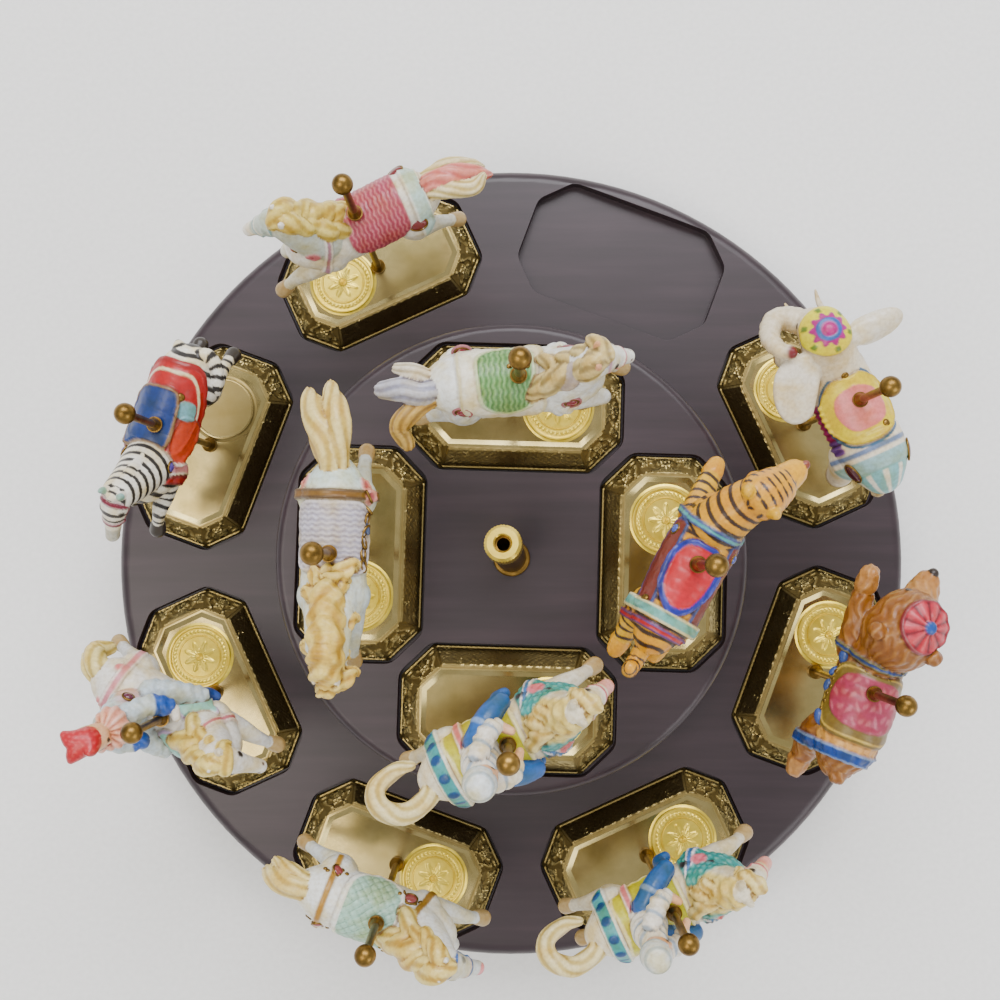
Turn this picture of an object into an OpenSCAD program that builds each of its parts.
// Carousel music box: a turned wooden base with a raised inner tier that turns on a
// spring driven musical movement. Porcelain animals on brass poles and engraved brass
// bases stand in octagonal pockets. Units are millimetres, +Z is up, and the origin is
// on the table under the middle of the base.

/* [Wooden base] */
// Outside diameter of the turned base
base_d = 356; // [350:2:430]
// Height of the rubber feet
foot_h = 6; // [4:1:10]
// Height of the wooden base above the feet
base_h = 28; // [26:1:36]
// Radius of the rounded upper edge of the base
edge_r = 6; // [3:0.5:8]
// Radius of the centre well that holds the movement
well_r = 84; // [84:1:90]

/* [Turning tier] */
// Outside diameter of the raised, turning tier
tier_d = 198; // [196:1:240]
// Height of the tier's top above the outer deck
tier_step = 42; // [42:1:60]
// Thickness of the tier's top
tier_t = 12; // [10:1:14]
// Thickness of the tier's skirt
skirt_t = 5; // [3:0.5:6]
// Wood left between an inner pocket and the tier's edge
tier_rim = 9; // [8:0.5:12]
// Gap under the skirt and under the turning tier
run_gap = 1.2; // [0.8:0.1:2]
// Wall thickness of the case round the movement
case_t = 4; // [3:0.5:5]

/* [Figures] */
// Length of an engraved brass base
plinth_l = 89; // [80:1:92]
// Width of an engraved brass base
plinth_w = 52; // [44:1:54]
// Height of an engraved brass base
plinth_h = 12; // [10:0.5:14]
// Width of the sloping facet round a brass base
plinth_slope = 8.5; // [5:0.5:10]
// Corner cut of the octagonal outline
corner_cut = 13; // [10:0.5:15]
// Depth of the pockets in the wood
pocket_depth = 5.5; // [5:0.5:7]
// Gap between a brass base and its pocket
pocket_gap = 1; // [0.4:0.1:1.2]
// Share of the free deck that lies outside the outer pockets
rim_share = 0.27; // [0.2:0.01:0.5]
// Diameter of a brass pole
pole_d = 3; // [2.4:0.2:4]
// Height of the pole's ball above the brass base
pole_h = 121; // [112:1:150]
// Diameter of the ball on top of a pole
ball_d = 7.6; // [6:0.2:10]
// Length of an animal from nose to tail
animal_l = 90; // [76:1:94]
// Height of an animal's trunk above its brass base
trunk_h = 70; // [64:1:84]
// Diameter of the medallion on a brass base
medallion_d = 27.5; // [20:0.5:30]

/* [Centre post] */
// Outside diameter of the brass post
post_d = 12.4; // [10:0.2:16]
// Height of the brass post above the tier
post_h = 30; // [20:1:60]
// Diameter of the knurled thumb nut
nut_d = 14.8; // [14:0.2:22]
// Height of the knurled thumb nut
nut_h = 8; // [6:0.5:12]
// Diameter of the threaded hole down the post
thread_d = 5; // [4:0.5:6]
// Depth of the threaded hole from the top of the post's stud
thread_l = 32; // [16:1:34]
// Lean of the post from upright, in degrees
post_lean = 10.5; // [0:0.5:12]

/* [Movement] */
// Diameter of the spring barrel
barrel_d = 44; // [38:1:46]
// Diameter of the pinned cylinder
cylinder_d = 17; // [15:0.5:18]
// Length of the pinned cylinder
cylinder_l = 32; // [26:1:34]
// Number of teeth on the comb
comb_teeth = 18; // [12:1:22]
// Teeth on the barrel's crown gear
crown_teeth = 48; // [40:2:56]
// Teeth on the cylinder's pinion
pinion_teeth = 14; // [12:1:16]
// Teeth on the cylinder's end gear
end_teeth = 24; // [18:2:26]
// Teeth on the governor's pinion
governor_teeth = 8; // [6:1:10]
// Diameter of the drive spindle
spindle_d = 8; // [6:0.5:10]
// Width across the winding key's wings
key_w = 36; // [24:1:40]

/* [Hidden] */

$fn = 64;

// clearances
fit_gap = 0.05;
bore_gap = 0.2;
press_gap = 0.02;
glue_gap = 0.12;
part_gap = 0.5;

// levels and radii of the base
base_r = base_d / 2;
deck_z = foot_h + base_h;
cover_t = 3;
cover_r = well_r + 6;
outer_count = 8;
outer_turn = 24.5;
inner_count = 4;
inner_turn = -1.7;
pocket_r = 7;
arc_steps = 3;

// levels and radii of the turning tier and its case
tier_r = tier_d / 2;
tier_z = deck_z + tier_step;
tier_under = tier_z - tier_t;
washer_t = 1.7;
case_gap = 2.5;
case_r = tier_r - skirt_t - case_gap;
case_top = tier_under - washer_t - 0.3;
tier_edge_r = 4;

// pocket rings
pocket_l = plinth_l + 2 * pocket_gap;
pocket_w = plinth_w + 2 * pocket_gap;
outer_ring = base_r - pocket_w / 2 - rim_share * (base_r - tier_r - pocket_w);
inner_ring = tier_r - tier_rim - pocket_w / 2;
outer_floor = deck_z - pocket_depth;
inner_floor = tier_z - pocket_depth;

// brass bases and poles
lip_h = 2.4;
medallion_t = 1.1;
medallion_sink = 0.6;
medallion_x = 17.4;
glue_t = 0.05;
casting_t = 4;
roof_t = 6;
socket_depth = 5;
collar_d = 7.6;
ferrule_d = 6;
pole_ring_d = 6.4;

// screws
screw_r = 1.2;
screw_clear_r = 1.7;
screw_head_r = 3;
driver_slot_w = 0.8;

// movement
key_room_r = 24;
cup_t = 2;
cup_top = foot_h + 20;
plate_z = foot_h + 24;
plate_t = 3;
plate_top = plate_z + plate_t;
barrel_r = barrel_d / 2;
barrel_z = plate_top + 2;
barrel_h = 15;
barrel_wall = 1.5;
lid_t = 1.5;
arbor_r = 3;
spindle_r = spindle_d / 2;
crown_r = barrel_r + 4.5;
crown_w = 4;
crown_z = barrel_z + 3.6;
tooth_h = 0.8;
tooth_w = 0.8;
crown_pitch = 2 * PI * crown_r / crown_teeth;
pinion_r = pinion_teeth * crown_pitch / (2 * PI);
mesh_gap = 0.4;
axis_z = crown_z + tooth_h + pinion_r + mesh_gap;
cylinder_r = cylinder_d / 2;
bracket_t = 2;
near_bracket_y = crown_r + crown_w / 2 + 1.5;
cylinder_y = near_bracket_y + bracket_t + 1.5;
end_gear_y = cylinder_y + cylinder_l + 2;
end_gear_t = 2.5;
far_bracket_y = end_gear_y + end_gear_t + 1.5;
end_gear_r = 8.6;
end_pitch = 2 * PI * end_gear_r / end_teeth;
governor_r = governor_teeth * end_pitch / (2 * PI);
governor_x = end_gear_r + governor_r + mesh_gap;
small_arbor_r = 1.5;
fan_arbor_r = 1;
fan_r = 7.5;
plate_half = 38;
plate_far = far_bracket_y + bracket_t + 1;
pin_h = 0.7;
comb_gap = 0.5;
comb_t = 1;
comb_l = 24;
comb_back = 10;
comb_margin = 1;
post_places = [[-30, -30], [30, -30], [-34, 24], [32, 60]];
plate_screw_l = 8;

WOOD = "#4a3438";
BRASS = "#8a6d2f";
BRIGHT_BRASS = "#c9a544";
GOLD = "#d8b648";
STEEL = "#a9abb0";
DARK = "#2a2a2c";

// points along an arc in the plane
function arc(x, y, r, a0, a1, steps) =
    [for (i = [0:steps]) [x + r * cos(a0 + (a1 - a0) * i / steps),
                          y + r * sin(a0 + (a1 - a0) * i / steps)]];

// corners of an octagon made by cutting the corners of a rectangle
function octagon(l, w, c) =
    [[l / 2 - c, -w / 2], [l / 2, -w / 2 + c], [l / 2, w / 2 - c], [l / 2 - c, w / 2],
     [-l / 2 + c, w / 2], [-l / 2, w / 2 - c], [-l / 2, -w / 2 + c], [-l / 2 + c, -w / 2]];

// the same octagon with rounded corners
function rounded_octagon(l, w, c, r) =
    let (inner = octagon(l - 2 * r, w - 2 * r, c - r * (2 - sqrt(2))))
    [for (i = [0:7]) each arc(inner[i][0], inner[i][1], r, 45 * i - 90, 45 * i - 45, arc_steps)];

module octagon_pocket(depth) {
    translate([0, 0, -depth])
        linear_extrude(depth + 1)
            polygon(rounded_octagon(pocket_l, pocket_w, corner_cut, pocket_r));
}

// puts its children on the outer ring, long axis along the ring
module on_outer(index) {
    rotate([0, 0, outer_turn + 360 * index / outer_count])
        translate([outer_ring, 0, 0])
            rotate([0, 0, 90])
                children();
}

// puts its children on the inner ring, long axis along the ring
module on_inner(index) {
    rotate([0, 0, inner_turn + 360 * index / inner_count])
        translate([inner_ring, 0, 0])
            rotate([0, 0, 90])
                children();
}

// ---- wooden base -------------------------------------------------------------------

cover_screw_l = 11;
module base_body() {
    bead_r = 4;
    groove_r = 1.5;
    groove_z = foot_h + 2 * bead_r + 2.5;
    profile = concat(
        [[well_r, deck_z], [well_r, foot_h + cover_t], [cover_r, foot_h + cover_t]],
        [[cover_r, foot_h]],
        arc(base_r - bead_r, foot_h + bead_r, bead_r, -90, 60, 6),
        arc(base_r, groove_z, groove_r, 250, 110, 5),
        arc(base_r - edge_r, deck_z - edge_r, edge_r, 0, 90, 6));
    color(WOOD)
    difference() {
        rotate_extrude($fn = 128) polygon(profile);
        for (i = [0:outer_count - 1])
            on_outer(i)
                translate([0, 0, deck_z])
                    octagon_pocket(pocket_depth);
        cover_screw_places() translate([0, 0, foot_h]) cylinder(h = cover_screw_l, r = screw_r);
    }
}

foot_count = 6;
foot_d = 18;
foot_inset = 16;
foot_round = 1.5;
module feet() {
    color(DARK)
    for (i = [0:foot_count - 1])
        rotate([0, 0, 30 + 360 * i / foot_count])
            translate([base_r - foot_inset, 0, 0])
                rotate_extrude()
                    polygon(concat([[0, 0]],
                                   arc(foot_d / 2 - foot_round, foot_round, foot_round, -90, 0, 3),
                                   [[foot_d / 2, foot_h], [0, foot_h]]));
}

screw_count = 6;
module cover_screw_places() {
    for (i = [0:screw_count - 1])
        rotate([0, 0, 360 * i / screw_count])
            translate([(well_r + cover_r) / 2, 0, 0])
                children();
}

module bottom_cover() {
    arbor_hole_r = 6;
    profile = [[key_room_r, foot_h], [cover_r - part_gap, foot_h],
               [cover_r - part_gap, foot_h + cover_t], [key_room_r + cup_t, foot_h + cover_t],
               [key_room_r + cup_t, cup_top], [arbor_hole_r, cup_top],
               [arbor_hole_r, cup_top - cup_t], [key_room_r, cup_top - cup_t]];
    color(WOOD)
    difference() {
        rotate_extrude($fn = 96) polygon(profile);
        cover_screw_places() translate([0, 0, foot_h - 1]) cylinder(h = cover_t + 2, r = screw_clear_r);
        cover_screw_places() translate([0, 0, foot_h - 1]) cylinder(h = head_t + 1.1, r = screw_head_r);
    }
}

head_t = 1.1;
module cover_screws() {
    shank_l = cover_screw_l - head_t - 1;
    color(STEEL)
    cover_screw_places() {
        difference() {
            translate([0, 0, foot_h + 0.1]) cylinder(h = head_t, r = screw_head_r - bore_gap);
            translate([-driver_slot_w / 2, -screw_head_r, foot_h - 0.5])
                cube([driver_slot_w, 2 * screw_head_r, 1.1]);
        }
        translate([0, 0, foot_h + 0.1 + head_t]) cylinder(h = shank_l, r = screw_r - press_gap);
    }
}

// ---- case and bearing --------------------------------------------------------------

bush_r = spindle_r + 3;
module movement_case() {
    profile = [[case_r - case_t, deck_z], [case_r, deck_z], [case_r, case_top],
               [bush_r + press_gap, case_top], [bush_r + press_gap, case_top - case_t],
               [case_r - case_t, case_top - case_t]];
    color(WOOD) rotate_extrude($fn = 96) polygon(profile);
}

module spindle_bush() {
    flange_t = 1.2;
    profile = [[spindle_r + fit_gap, case_top - case_t - flange_t - 1],
               [bush_r + 2, case_top - case_t - flange_t - 1],
               [bush_r + 2, case_top - case_t], [bush_r, case_top - case_t],
               [bush_r, case_top + 1], [spindle_r + fit_gap, case_top + 1]];
    color(BRASS) rotate_extrude() polygon(profile);
}

module thrust_washer() {
    color("#d8d4c8")
    translate([0, 0, case_top])
        difference() {
            cylinder(h = washer_t, r = 40);
            translate([0, 0, -1]) cylinder(h = washer_t + 2, r = 26);
        }
}

module turning_tier() {
    bore_r = spindle_r + press_gap;
    profile = concat(
        [[bore_r, tier_under], [tier_r - skirt_t, tier_under], [tier_r - skirt_t, deck_z + run_gap]],
        [[tier_r, deck_z + run_gap]],
        arc(tier_r - tier_edge_r, tier_z - tier_edge_r, tier_edge_r, 0, 90, 6),
        [[bore_r, tier_z]]);
    color(WOOD)
    difference() {
        rotate_extrude($fn = 128) polygon(profile);
        for (i = [0:inner_count - 1])
            on_inner(i)
                translate([0, 0, tier_z])
                    octagon_pocket(pocket_depth);
    }
}

// ---- centre post -------------------------------------------------------------------

spigot_l = 5;
spigot_r = spindle_r;
post_foot_h = 2.6;
post_foot_r = post_d / 2 + 1.5;
stud_r = post_d / 2 - 2.2;
stud_l = nut_h - 3;
post_top = tier_z + post_h;
lean_turn = 122;

// leans its children with the post, about the middle of the tier's top
module leaning() {
    translate([0, 0, tier_z])
        rotate([0, 0, lean_turn])
            rotate([0, post_lean, 0])
                translate([0, 0, -tier_z])
                    children();
}

// an upright foot with its spigot in the tier, and the leaning tube
module centre_post() {
    tube_z = tier_z + 1.4;
    tube = [[0, tube_z], [post_d / 2, tube_z], [post_d / 2, post_top - 0.5],
            [post_d / 2 - 0.5, post_top], [stud_r, post_top], [stud_r, post_top + stud_l],
            [0, post_top + stud_l]];
    foot = [[0, tier_z - spigot_l], [spigot_r, tier_z - spigot_l], [spigot_r, tier_z],
            [post_foot_r, tier_z], [post_foot_r, tier_z + post_foot_h - 0.6],
            [post_foot_r - 0.6, tier_z + post_foot_h], [0, tier_z + post_foot_h]];
    color(BRASS)
    difference() {
        union() {
            rotate_extrude() polygon(foot);
            leaning() rotate_extrude() polygon(tube);
        }
        leaning()
            translate([0, 0, post_top + stud_l - thread_l])
                cylinder(h = thread_l + 1, r = thread_d / 2);
    }
}

knurl_count = 36;
module thumb_nut() {
    knurl_r = 0.55;
    hole_r = thread_d / 2 + 0.7;
    color(BRIGHT_BRASS)
    leaning()
        translate([0, 0, post_top + 0.2])
            difference() {
                rotate_extrude()
                    polygon([[hole_r, stud_l], [stud_r + fit_gap, stud_l],
                             [stud_r + fit_gap, 0], [nut_d / 2 - 0.8, 0], [nut_d / 2, 0.8],
                             [nut_d / 2, nut_h - 1.2], [nut_d / 2 - 1.2, nut_h],
                             [hole_r + 0.6, nut_h], [hole_r, nut_h - 0.6]]);
                for (i = [0:knurl_count - 1])
                    rotate([0, 0, 360 * i / knurl_count])
                        translate([nut_d / 2 + 0.25, 0, -1])
                            cylinder(h = nut_h + 2, r = knurl_r, $fn = 4);
            }
}

// ---- drive -------------------------------------------------------------------------

barrel_top = barrel_z + barrel_h;
module drive_spindle() {
    color(STEEL)
    translate([0, 0, barrel_top + lid_t])
        cylinder(h = tier_z - spigot_l - barrel_top - lid_t, r = spindle_r);
}

// a ring of straight teeth standing on a flat face
module crown_ring() {
    for (i = [0:crown_teeth - 1])
        rotate([0, 0, 90 + 360 * (i + 0.5) / crown_teeth])
            translate([crown_r - crown_w / 2, -tooth_w / 2, 0])
                cube([crown_w, tooth_w, 2 * tooth_h]);
}

module spring_barrel() {
    floor_t = 1.5;
    profile = [[arbor_r + fit_gap, barrel_z], [crown_r + crown_w / 2, barrel_z],
               [crown_r + crown_w / 2, crown_z], [barrel_r, crown_z], [barrel_r, barrel_top],
               [barrel_r - barrel_wall, barrel_top], [barrel_r - barrel_wall, barrel_z + floor_t],
               [arbor_r + fit_gap, barrel_z + floor_t]];
    color(BRASS) {
        rotate_extrude() polygon(profile);
        translate([0, 0, crown_z]) crown_ring();
    }
}

module barrel_cover() {
    color(BRASS)
    translate([0, 0, barrel_top])
        cylinder(h = lid_t, r = barrel_r);
}

spring_turns = 5;
spring_steps = 18;
ribbon_t = 0.5;
function spiral(r0, r1, turns, steps) =
    [for (i = [0:turns * steps])
        let (a = 360 * i / steps, r = r0 + (r1 - r0) * i / (turns * steps))
        [r * cos(a), r * sin(a)]];

module mainspring() {
    spring_in = arbor_r + 3;
    spring_out = barrel_r - barrel_wall - 1.2;
    outer_line = spiral(spring_in + ribbon_t, spring_out, spring_turns, spring_steps);
    inner_line = spiral(spring_in, spring_out - ribbon_t, spring_turns, spring_steps);
    last = len(inner_line) - 1;
    color(STEEL)
    translate([0, 0, barrel_z + 2.5])
        linear_extrude(barrel_h - 3.5)
            polygon(concat(outer_line, [for (i = [last:-1:0]) inner_line[i]]));
}

key_hub_r = 4.5;
key_low = foot_h + 2;
key_hub_top = cup_top + 1;
key_socket = 8;
module winding_arbor() {
    color(STEEL)
    translate([0, 0, key_hub_top - key_socket])
        cylinder(h = barrel_top - 1 - key_hub_top + key_socket, r = arbor_r);
}

module winding_key() {
    wing_t = 2.4;
    wing_h = 11;
    lobe_r = wing_h / 2;
    color(BRASS)
    difference() {
        union() {
            translate([0, 0, key_low]) cylinder(h = key_hub_top - key_low, r = key_hub_r);
            translate([0, wing_t / 2, key_low + lobe_r])
                rotate([90, 0, 0]) {
                    for (side = [-1, 1])
                        translate([side * (key_w / 2 - lobe_r), 0, 0])
                            cylinder(h = wing_t, r = lobe_r);
                    translate([-key_w / 2 + lobe_r, -lobe_r, 0])
                        cube([key_w - 2 * lobe_r, wing_h, wing_t]);
                }
        }
        translate([0, 0, key_hub_top - key_socket])
            cylinder(h = key_socket + 1, r = arbor_r + press_gap);
        for (side = [-1, 1])
            translate([side * (key_w / 2 - lobe_r), 5, key_low + lobe_r])
                rotate([90, 0, 0])
                    cylinder(h = 10, r = 2.6);
    }
}

// ---- movement ----------------------------------------------------------------------

comb_x = cylinder_r + pin_h + comb_gap;
comb_y = cylinder_y + 1;
comb_w = cylinder_l - 2;
comb_screw_ys = [comb_y + 6, comb_y + comb_w - 6];
comb_screw_x = -(comb_x + comb_l - comb_back / 2);

module at_posts() {
    for (place = post_places)
        translate([place[0], place[1], 0])
            children();
}

module bedplate() {
    chamfer = 12;
    outline = [[-plate_half, -plate_half + chamfer], [-plate_half + chamfer, -plate_half],
               [plate_half - chamfer, -plate_half], [plate_half, -plate_half + chamfer],
               [plate_half, plate_far - chamfer], [plate_half - chamfer, plate_far],
               [-plate_half + chamfer, plate_far], [-plate_half, plate_far - chamfer]];
    color(STEEL)
    difference() {
        union() {
            translate([0, 0, plate_z]) linear_extrude(plate_t) polygon(outline);
            translate([-(comb_x + comb_l), comb_y, plate_z])
                cube([comb_back, comb_w, axis_z - comb_t - plate_z]);
        }
        translate([0, 0, plate_z - 1]) cylinder(h = plate_t + 2, r = arbor_r + fit_gap);
        at_posts() translate([0, 0, plate_z - 1]) cylinder(h = plate_t + 2, r = screw_clear_r);
        for (y = comb_screw_ys)
            translate([comb_screw_x, y, axis_z - plate_screw_l]) cylinder(h = plate_screw_l + 1, r = screw_r);
    }
}

module movement_posts() {
    color(BRASS)
    at_posts()
        translate([0, 0, foot_h + cover_t])
            difference() {
                cylinder(h = plate_z - foot_h - cover_t, r = 4);
                translate([0, 0, plate_z - foot_h - cover_t - plate_screw_l])
                    cylinder(h = plate_screw_l + 1, r = screw_r);
            }
}

// a cheese-head screw whose head stands on the level of its children's origin
module cheese_screw(length) {
    head_h = 1.6;
    difference() {
        cylinder(h = head_h, r = screw_head_r);
        translate([-driver_slot_w / 2, -screw_head_r - 1, head_h - 0.7])
            cube([driver_slot_w, 2 * screw_head_r + 2, 1]);
    }
    translate([0, 0, -length]) cylinder(h = length, r = screw_r - press_gap);
}

module movement_screws() {
    color(STEEL)
    at_posts() translate([0, 0, plate_top]) cheese_screw(plate_screw_l);
}

// straight teeth round a shaft that lies along Y
module tooth_ring(r, count, t, turn) {
    for (i = [0:count - 1])
        rotate([0, turn + 360 * i / count, 0])
            translate([-tooth_w / 2, 0, -r - tooth_h])
                cube([tooth_w, t, 2 * tooth_h]);
}

pin_rows = 9;
module pinned_cylinder() {
    color(BRIGHT_BRASS)
    translate([0, 0, axis_z])
        difference() {
            union() {
                translate([0, cylinder_y + cylinder_l, 0])
                    rotate([90, 0, 0])
                        cylinder(h = cylinder_l, r = cylinder_r);
                translate([0, end_gear_y + end_gear_t, 0])
                    rotate([90, 0, 0])
                        cylinder(h = end_gear_t + 2.5, r = end_gear_r - tooth_h + 0.1);
                translate([0, end_gear_y, 0])
                    tooth_ring(end_gear_r, end_teeth, end_gear_t, 90 + 180 / end_teeth);
                translate([0, crown_r - crown_w / 2, 0])
                    tooth_ring(pinion_r, pinion_teeth, crown_w, 0);
                translate([0, crown_r + crown_w / 2, 0])
                    rotate([90, 0, 0])
                        cylinder(h = crown_w, r = pinion_r - tooth_h + 0.1);
                for (row = [0:pin_rows - 1], k = [0:3])
                    rotate([0, 90 * k + 37 * row + 20 * (k % 2), 0])
                        translate([0, cylinder_y + 2.5 + row * (cylinder_l - 5) / (pin_rows - 1), 0])
                            cylinder(h = cylinder_r + pin_h, r = 0.35, $fn = 6);
            }
            translate([0, plate_far, 0])
                rotate([90, 0, 0])
                    cylinder(h = plate_far, r = small_arbor_r + press_gap);
        }
}

module cylinder_arbor() {
    color(STEEL)
    translate([0, far_bracket_y + bracket_t, axis_z])
        rotate([90, 0, 0])
            cylinder(h = far_bracket_y + bracket_t - crown_r + crown_w / 2, r = small_arbor_r);
}

module cylinder_brackets() {
    bracket_w = 10;
    color(BRASS)
    difference() {
        union() {
            translate([-bracket_w / 2, near_bracket_y, plate_top])
                cube([bracket_w, bracket_t, axis_z + 4 - plate_top]);
            translate([-bracket_w / 2, far_bracket_y, plate_top])
                cube([bracket_w + governor_x, bracket_t, axis_z + 4 - plate_top]);
        }
        translate([0, far_bracket_y + bracket_t + 1, axis_z])
            rotate([90, 0, 0])
                cylinder(h = plate_far, r = small_arbor_r + fit_gap);
        translate([governor_x, far_bracket_y + bracket_t + 1, axis_z])
            rotate([90, 0, 0])
                cylinder(h = bracket_t + 2, r = fan_arbor_r + fit_gap);
    }
}

module comb() {
    slot_l = comb_l - comb_back - 2;
    slot_w = 0.5;
    tooth_pitch = (comb_w - 2 * comb_margin) / comb_teeth;
    color(STEEL)
    difference() {
        translate([-(comb_x + comb_l), comb_y, axis_z - comb_t]) cube([comb_l, comb_w, comb_t]);
        for (i = [0:comb_teeth])
            translate([-comb_x - slot_l, comb_y + comb_margin + i * tooth_pitch - slot_w / 2, axis_z - 2])
                cube([slot_l + 1, slot_w, 3]);
        for (y = comb_screw_ys)
            translate([comb_screw_x, y, axis_z - 2]) cylinder(h = 3, r = screw_clear_r);
    }
}

module comb_screws() {
    color(DARK)
    for (y = comb_screw_ys)
        translate([comb_screw_x, y, axis_z]) cheese_screw(plate_screw_l - 1);
}

module governor_fan() {
    blade_t = 0.8;
    blade_l = 6;
    blade_y = far_bracket_y + bracket_t + 1.5;
    shaft_y = end_gear_y - 8;
    color(STEEL)
    translate([governor_x, 0, axis_z]) {
        translate([0, blade_y + blade_l, 0])
            rotate([90, 0, 0])
                cylinder(h = blade_y + blade_l - shaft_y, r = fan_arbor_r);
        translate([0, end_gear_y, 0])
            tooth_ring(governor_r, governor_teeth, end_gear_t, 90);
        translate([0, end_gear_y + end_gear_t, 0])
            rotate([90, 0, 0])
                cylinder(h = end_gear_t, r = governor_r - tooth_h + 0.1);
        translate([-fan_r, blade_y, -blade_t / 2]) cube([2 * fan_r, blade_l, blade_t]);
    }
}

module governor_bracket() {
    y = end_gear_y - 7.5;
    color(BRASS)
    difference() {
        translate([governor_x - 1.6, y, plate_top]) cube([6, bracket_t, axis_z + 3 - plate_top]);
        translate([governor_x, y + bracket_t + 1, axis_z])
            rotate([90, 0, 0])
                cylinder(h = bracket_t + 2, r = fan_arbor_r + fit_gap);
    }
}

// ---- figures -----------------------------------------------------------------------

// an engraved brass base and, in its recess, a round medallion; side is 1 when the
// medallion is towards the nose of the animal
module plinth(side) {
    color(BRASS)
    difference() {
        hull() {
            linear_extrude(lip_h) polygon(octagon(plinth_l, plinth_w, corner_cut));
            linear_extrude(plinth_h)
                polygon(octagon(plinth_l - 2 * plinth_slope, plinth_w - 2 * plinth_slope,
                                corner_cut - plinth_slope * (2 - sqrt(2))));
        }
        hull() {
            translate([0, 0, -1])
                linear_extrude(1)
                    polygon(octagon(plinth_l - 2 * casting_t, plinth_w - 2 * casting_t, corner_cut - 1));
            linear_extrude(plinth_h - roof_t)
                polygon(octagon(plinth_l - 2 * plinth_slope, plinth_w - 2 * plinth_slope,
                                corner_cut - plinth_slope * (2 - sqrt(2))));
        }
        translate([0, 0, plinth_h - socket_depth])
            cylinder(h = socket_depth + 1, r = pole_d / 2 + glue_gap);
        translate([side * medallion_x, 0, plinth_h - medallion_sink])
            cylinder(h = 2, r = medallion_d / 2 + bore_gap);
    }
    color(GOLD)
    translate([side * medallion_x, 0, plinth_h - medallion_sink + glue_t])
        rotate_extrude()
            polygon([[0, 0], [medallion_d / 2, 0], [medallion_d / 2, medallion_t],
                     [medallion_d / 2 - 0.9, medallion_t],
                     [medallion_d / 2 - 1.3, medallion_t - 0.4], [0, medallion_t - 0.4]]);
}

trunk_z = plinth_h + trunk_h;
carving_l = 90;
k = animal_l / carving_l;
saddle_up = 14 * k;
belly_down = 13.5 * k;
ball_z = plinth_h + pole_h;
module pole() {
    collar_z = trunk_z - belly_down - collar_d / 2 - part_gap;
    ferrule_z = trunk_z + saddle_up + part_gap;
    color(BRASS) {
        translate([0, 0, plinth_h - socket_depth])
            cylinder(h = ball_z - plinth_h + socket_depth, r = pole_d / 2);
        translate([0, 0, plinth_h]) cylinder(h = 1.6, d = pole_ring_d);
        translate([0, 0, plinth_h + 1.6]) cylinder(h = 2, d1 = ferrule_d, d2 = pole_d + 0.2);
        translate([0, 0, collar_z]) sphere(d = collar_d);
        translate([0, 0, ferrule_z]) cylinder(h = 1.4, d = ferrule_d);
        translate([0, 0, ferrule_z + 1.4]) cylinder(h = 3.4, d1 = ferrule_d - 0.8, d2 = pole_d + 0.2);
        translate([0, 0, ball_z]) sphere(d = ball_d);
    }
}

// joins a chain of balls, each [x, y, z, radius], into one rounded limb
module limb(balls) {
    for (i = [0:len(balls) - 2])
        hull()
            for (j = [i, i + 1])
                translate([balls[j][0], balls[j][1], balls[j][2]])
                    sphere(r = balls[j][3], $fn = 8);
}

// mirrors its children to both flanks
module both_flanks() {
    for (side = [-1, 1])
        scale([1, side, 1])
            children();
}

// scales a carved animal, lifts it to its height on the pole, turns it about the pole
// and drills it for the pole
module on_pole(turn = 0) {
    difference() {
        translate([0, 0, trunk_z])
            rotate([0, 0, turn])
                scale(k)
                    children();
        cylinder(h = ball_z, r = pole_d / 2 + bore_gap, $fn = 12);
    }
}

// A galloping horse's limbs. The trunk's middle is at the pole, +X is forwards.
trunk = [[-19, 0, 2, 12], [0, 0, 0, 12.5], [17, 0, 1, 11]];
tail = [[-27, 0, 7, 4.5], [-36, 0, 7, 4.8], [-42, 0, -1, 3]];
fore_leg = [[17, 6, -4, 5.5], [28, 7, -12, 3.4], [37, 7, -19, 2.8]];
fore_leg_bent = [[17, -6, -4, 5.5], [29, -7, -10, 3.4], [25, -7, -24, 2.8]];
hind_leg = [[-19, 6, -3, 7], [-24, 7, -17, 3.6], [-36, 7, -24, 2.8]];
hind_leg_bent = [[-19, -6, -3, 7], [-21, -7, -18, 3.6], [-31, -7, -29, 2.8]];

function neck(turn) = [[19, 0, 5, 9], [29, 3 * turn, 19, 6.6]];
function head(turn) = [[29, 3 * turn, 21, 6.2], [40, 7 * turn, 12, 3.8]];

module horse(turn) {
    limb(trunk);
    limb(neck(turn));
    limb(head(turn));
    limb(tail);
    limb(fore_leg);
    limb(fore_leg_bent);
    limb(hind_leg);
    limb(hind_leg_bent);
    translate([-2, 0, 8]) scale([1.3, 1.02, 0.44]) sphere(r = 12.5, $fn = 10);
}

module rider() {
    limb([[-11, 0, 14, 6.5], [-11, -1, 26, 6]]);
    limb([[-7, 8, 13, 4.5], [5, 13, 2, 3.4]]);
    limb([[-10, -6, 26, 3], [2, -7.5, 21, 2.4]]);
    translate([-12, -3, 35]) sphere(r = 5.6, $fn = 12);
    translate([-12, -3, 38]) cylinder(h = 4, r = 6.6, $fn = 16);
}

// a rider behind the pole who leans out, in a three-cornered hat
module jester() {
    limb([[-13, -5, 13, 7], [-12, -8, 27, 6.5]]);
    limb([[-7, 8, 13, 4.5], [5, 12, 2, 3.4]]);
    limb([[-8, -4, 26, 3], [1, 3, 22, 2.6]]);
    translate([-13, -12, 37]) sphere(r = 6.5, $fn = 12);
    limb([[-12, -12, 42, 6], [-21, -19, 44, 3.5]]);
}

// how far some animals are turned about their poles
fan_horse_turn = 35;
inner_rider_turn = 30;
tiger_turn = -27;
green_horse_turn = 6;

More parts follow.
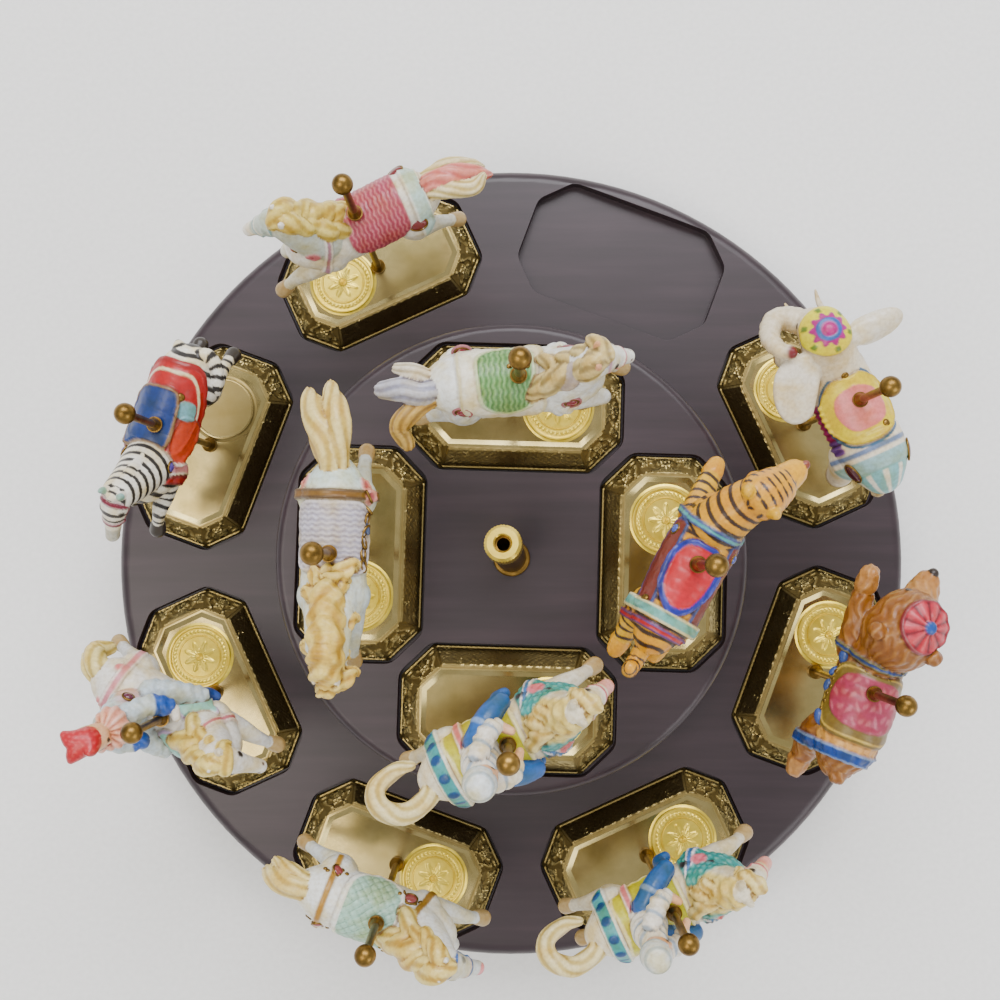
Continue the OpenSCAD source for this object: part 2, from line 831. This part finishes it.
module bear_body() {
    limb([[-20, 0, 1, 12], [0, 0, 0, 12.5], [16, 0, 2, 11.5]]);
    limb([[16, 0, 6, 10], [27, 0, 17, 9.5]]);
    limb([[27, 0, 15, 7], [38, 0, 10, 4]]);
    limb([[15, 7, -4, 6], [26, 9, -12, 5]]);
    limb([[15, -7, -4, 6], [34, -10, -2, 4.6]]);
    limb([[-19, 7, -5, 7], [-26, 8, -19, 5]]);
    limb([[-19, -7, -5, 7], [-31, -8, -16, 5]]);
    both_flanks() limb([[25, 4, 20, 5], [24, 8, 25, 3.6]]);
    translate([-30, 0, 5]) sphere(r = 4.2, $fn = 10);
}

module elephant_body() {
    limb([[-19, 0, 1, 13], [0, 0, 0, 12.5], [15, 0, 3, 12]]);
    limb([[17, 0, 6, 10], [26, 0, 14, 9.5]]);
    limb([[30, 0, 10, 5], [39, 0, 6, 3.6], [42, 0, 14, 2.6]]);
    both_flanks() limb([[25, 7, 16, 4], [20, 17, 12, 3]]);
    limb([[14, 7, -4, 6.5], [24, 8, -17, 5]]);
    limb([[14, -7, -4, 6.5], [16, -8, -22, 5]]);
    limb([[-18, 7, -5, 7], [-23, 8, -21, 5]]);
    limb([[-18, -7, -5, 7], [-28, -8, -19, 5]]);
    limb([[-28, 0, 3, 3], [-35, 0, -6, 1.6]]);
}

module tiger_body() {
    limb([[-20, 0, 1, 10.5], [0, 0, 0, 12], [17, 0, 2, 11]]);
    limb([[18, 0, 6, 9], [27, -3, 14, 8]]);
    limb([[28, -3, 13, 6.5], [35, -7, 10, 4.6]]);
    limb([[16, 6, -4, 5.5], [28, 7, -12, 4.2]]);
    limb([[16, -6, -4, 5.5], [30, -8, -15, 4.2]]);
    limb([[-20, 6, -3, 7], [-30, 8, -17, 4.2]]);
    limb([[-20, -6, -3, 7], [-26, -8, -20, 4.2]]);
    limb([[-27, 0, 2, 3.4], [-39, 3, 0, 2.8], [-43, 4, 9, 2.6]]);
    both_flanks() limb([[25, 1, 16, 5], [23, 6, 21, 2.6]]);
}

module outer_place(index) {
    on_outer(index) translate([0, 0, outer_floor]) children();
}

module inner_place(index, turn) {
    on_inner(index) translate([0, 0, inner_floor]) rotate([0, 0, turn]) children();
}

module elephant_base() { outer_place(0) plinth(1); }
module elephant_pole() { outer_place(0) pole(); }
module elephant() { color("#f1ede2") outer_place(0) on_pole() elephant_body(); }

module pink_horse_base() { outer_place(2) plinth(1); }
module pink_horse_pole() { outer_place(2) pole(); }
module pink_horse() { color("#f0e6e4") outer_place(2) on_pole() horse(-0.4); }

module zebra_base() { outer_place(3) plinth(-1); }
module zebra_pole() { outer_place(3) pole(); }
module zebra() { color("#f3f1ea") outer_place(3) on_pole() horse(0); }

module fan_horse_base() { outer_place(4) plinth(-1); }
module fan_horse_pole() { outer_place(4) pole(); }
module fan_horse() { color("#e6ecee") outer_place(4) on_pole(fan_horse_turn) { horse(0.4); jester(); } }

module mint_horse_base() { outer_place(5) plinth(1); }
module mint_horse_pole() { outer_place(5) pole(); }
module mint_horse() { color("#eef1f2") outer_place(5) on_pole() horse(-0.3); }

module outer_rider_base() { outer_place(6) plinth(1); }
module outer_rider_pole() { outer_place(6) pole(); }
module outer_rider() { color("#efe6d2") outer_place(6) on_pole() { horse(0.3); rider(); } }

module bear_base() { outer_place(7) plinth(1); }
module bear_pole() { outer_place(7) pole(); }
module bear() { color("#b9743a") outer_place(7) on_pole() bear_body(); }

module green_horse_base() { inner_place(1, 180) plinth(1); }
module green_horse_pole() { inner_place(1, 180) pole(); }
module green_horse() { color("#e9efee") inner_place(1, 180) on_pole(green_horse_turn) horse(0.3); }

module lilac_horse_base() { inner_place(2, 0) plinth(1); }
module lilac_horse_pole() { inner_place(2, 0) pole(); }
module lilac_horse() { color("#e4e4ec") inner_place(2, 0) on_pole() horse(-0.3); }

module inner_rider_base() { inner_place(3, 0) plinth(1); }
module inner_rider_pole() { inner_place(3, 0) pole(); }
module inner_rider() { color("#efe6d2") inner_place(3, 0) on_pole(inner_rider_turn) { horse(0.3); rider(); } }

module tiger_base() { inner_place(0, 0) plinth(1); }
module tiger_pole() { inner_place(0, 0) pole(); }
module tiger() { color("#dca544") inner_place(0, 0) on_pole(tiger_turn) tiger_body(); }

base_body();
feet();
bottom_cover();
cover_screws();
movement_case();
spindle_bush();
thrust_washer();
turning_tier();
centre_post();
thumb_nut();
drive_spindle();
spring_barrel();
barrel_cover();
mainspring();
winding_arbor();
winding_key();
bedplate();
movement_posts();
movement_screws();
pinned_cylinder();
cylinder_arbor();
cylinder_brackets();
comb();
comb_screws();
governor_fan();
governor_bracket();
elephant_base();
elephant_pole();
elephant();
pink_horse_base();
pink_horse_pole();
pink_horse();
zebra_base();
zebra_pole();
zebra();
fan_horse_base();
fan_horse_pole();
fan_horse();
mint_horse_base();
mint_horse_pole();
mint_horse();
outer_rider_base();
outer_rider_pole();
outer_rider();
bear_base();
bear_pole();
bear();
green_horse_base();
green_horse_pole();
green_horse();
lilac_horse_base();
lilac_horse_pole();
lilac_horse();
inner_rider_base();
inner_rider_pole();
inner_rider();
tiger_base();
tiger_pole();
tiger();
